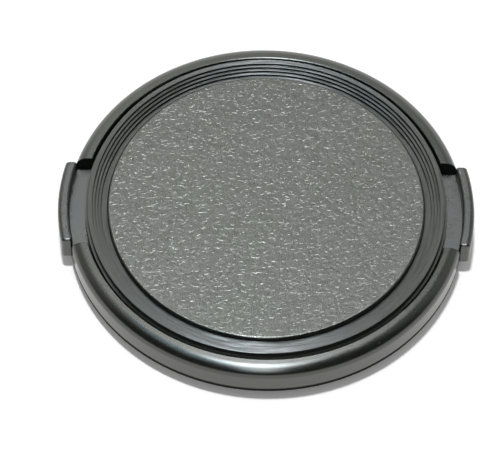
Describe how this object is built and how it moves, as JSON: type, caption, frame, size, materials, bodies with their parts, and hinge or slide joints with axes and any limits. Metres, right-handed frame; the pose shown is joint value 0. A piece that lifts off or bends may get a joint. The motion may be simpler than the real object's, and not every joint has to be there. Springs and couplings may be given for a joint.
{
  "type": "camera lens cap",
  "caption": "Round clip-on lens cap with sprung side buttons, a beaded outer ring, a finely stepped front cover and an embossed leatherette inlay.",
  "frame": {"origin": "on the cap's axis, level with the lowest edge of the jaws that it stands on", "axes": "+X through the right-hand button, +Y across the buttons, +Z out of the front face"},
  "size_m": [0.0642, 0.0616, 0.0077],
  "materials": {
    "ring_plastic": "glossy moulded black plastic",
    "cover_plastic": "satin moulded black plastic",
    "inlay_leatherette": "embossed leatherette with a pebbled grain",
    "button_plastic": "satin moulded black plastic",
    "spring_steel": "bright drawn spring wire"
  },
  "bodies": {
    "cap": {"ring_body": "ring_plastic", "front_cover": "cover_plastic", "front_inlay": "inlay_leatherette", "right_spring": "spring_steel", "left_spring": "spring_steel"},
    "button_right": {"right_button": "button_plastic"},
    "button_left": {"left_button": "button_plastic"}
  },
  "joints": [
    {"name": "right_press", "type": "slide", "parent": "cap", "child": "button_right", "axis": [-1, 0, 0], "range_m": [0, 0.0013], "stiffness_N_per_m": 2000, "deforming": ["right_spring"]},
    {"name": "left_press", "type": "slide", "parent": "cap", "child": "button_left", "axis": [1, 0, 0], "range_m": [0, 0.0013], "stiffness_N_per_m": 2000, "deforming": ["left_spring"]}
  ]
}
